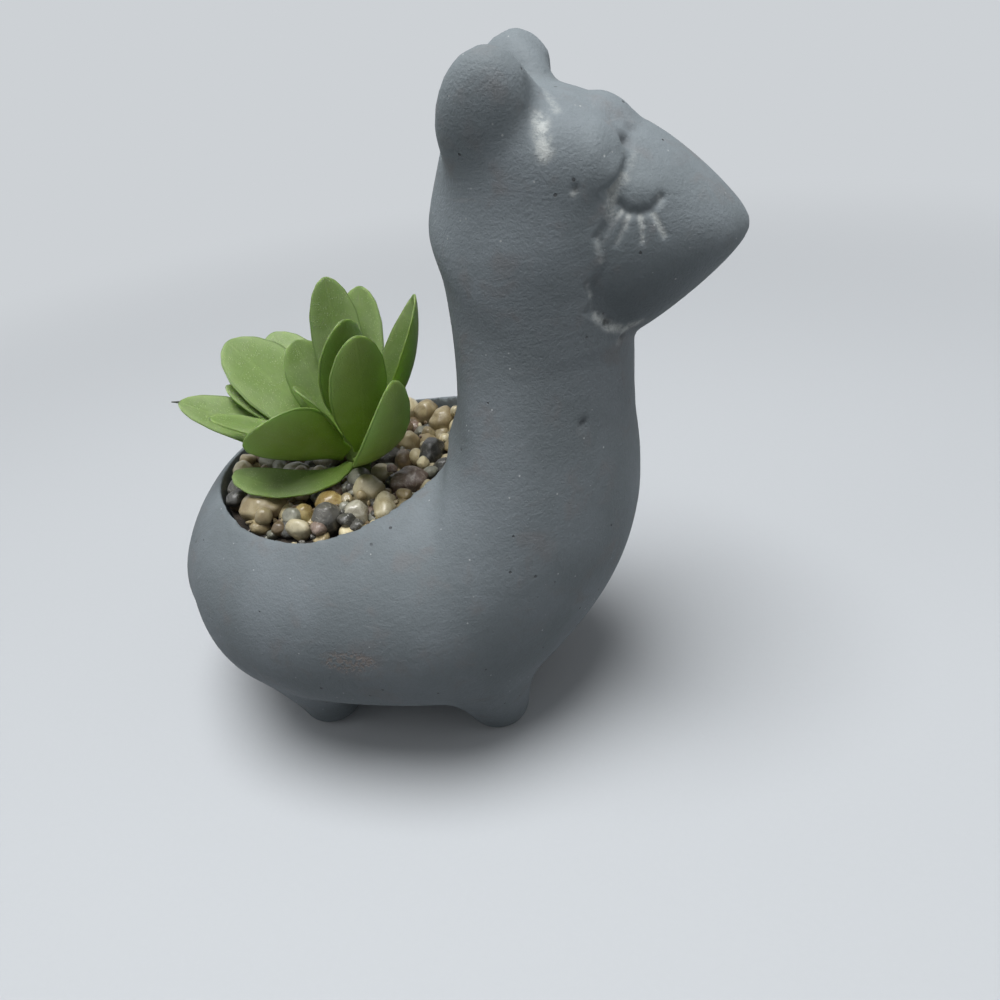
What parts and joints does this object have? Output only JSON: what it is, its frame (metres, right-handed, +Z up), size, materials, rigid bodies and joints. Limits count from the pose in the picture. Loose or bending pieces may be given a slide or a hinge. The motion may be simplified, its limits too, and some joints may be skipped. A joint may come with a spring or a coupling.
{
  "type": "animal-shaped planter",
  "caption": "Small cast cement planter in the shape of a standing llama, its back open as a well with a gravel bed and a plastic succulent.",
  "frame": {"origin": "middle of the footprint, on the surface that the feet stand on", "axes": "+X the way the animal looks, +Y its left side, +Z up"},
  "size_m": [0.1157, 0.077, 0.1258],
  "materials": {
    "cement": "matte",
    "foam": "matte",
    "tan_stone": "satin",
    "brown_stone": "satin",
    "cream_stone": "satin",
    "grey_stone": "satin",
    "amber_stone": "gloss",
    "black_stone": "satin",
    "quartz": "gloss",
    "red_stone": "satin",
    "leaf_green": "satin"
  },
  "bodies": {
    "pot": {"pot": "cement"},
    "filling": {"foam_plug": "foam", "pebbles_tan": "tan_stone", "pebbles_brown": "brown_stone", "pebbles_cream": "cream_stone", "pebbles_grey": "grey_stone", "pebbles_amber": "amber_stone", "pebbles_black": "black_stone", "pebbles_quartz": "quartz", "pebbles_red": "red_stone"},
    "plant": {"stem": "leaf_green", "leaf_01_back_upright": "leaf_green", "leaf_02_back_upright": "leaf_green", "leaf_03_neck_side": "leaf_green", "leaf_04_rear_broad": "leaf_green", "leaf_05_rear_broad": "leaf_green", "leaf_06_rear_upright": "leaf_green", "leaf_07_inner": "leaf_green", "leaf_08_front_upright": "leaf_green", "leaf_09_front": "leaf_green", "leaf_10_rear_long": "leaf_green", "leaf_11_rear_inner": "leaf_green", "leaf_12_rear_small": "leaf_green", "leaf_13_front_broad": "leaf_green", "leaf_14_inner_small": "leaf_green", "leaf_15_low": "leaf_green"}
  },
  "joints": [
    {"name": "filling_lift", "type": "slide", "parent": "pot", "child": "filling", "axis": [0, 0, 1], "range_m": [0, 0.03]},
    {"name": "plant_pull", "type": "slide", "parent": "filling", "child": "plant", "axis": [0, 0, 1], "range_m": [0, 0.03]}
  ]
}
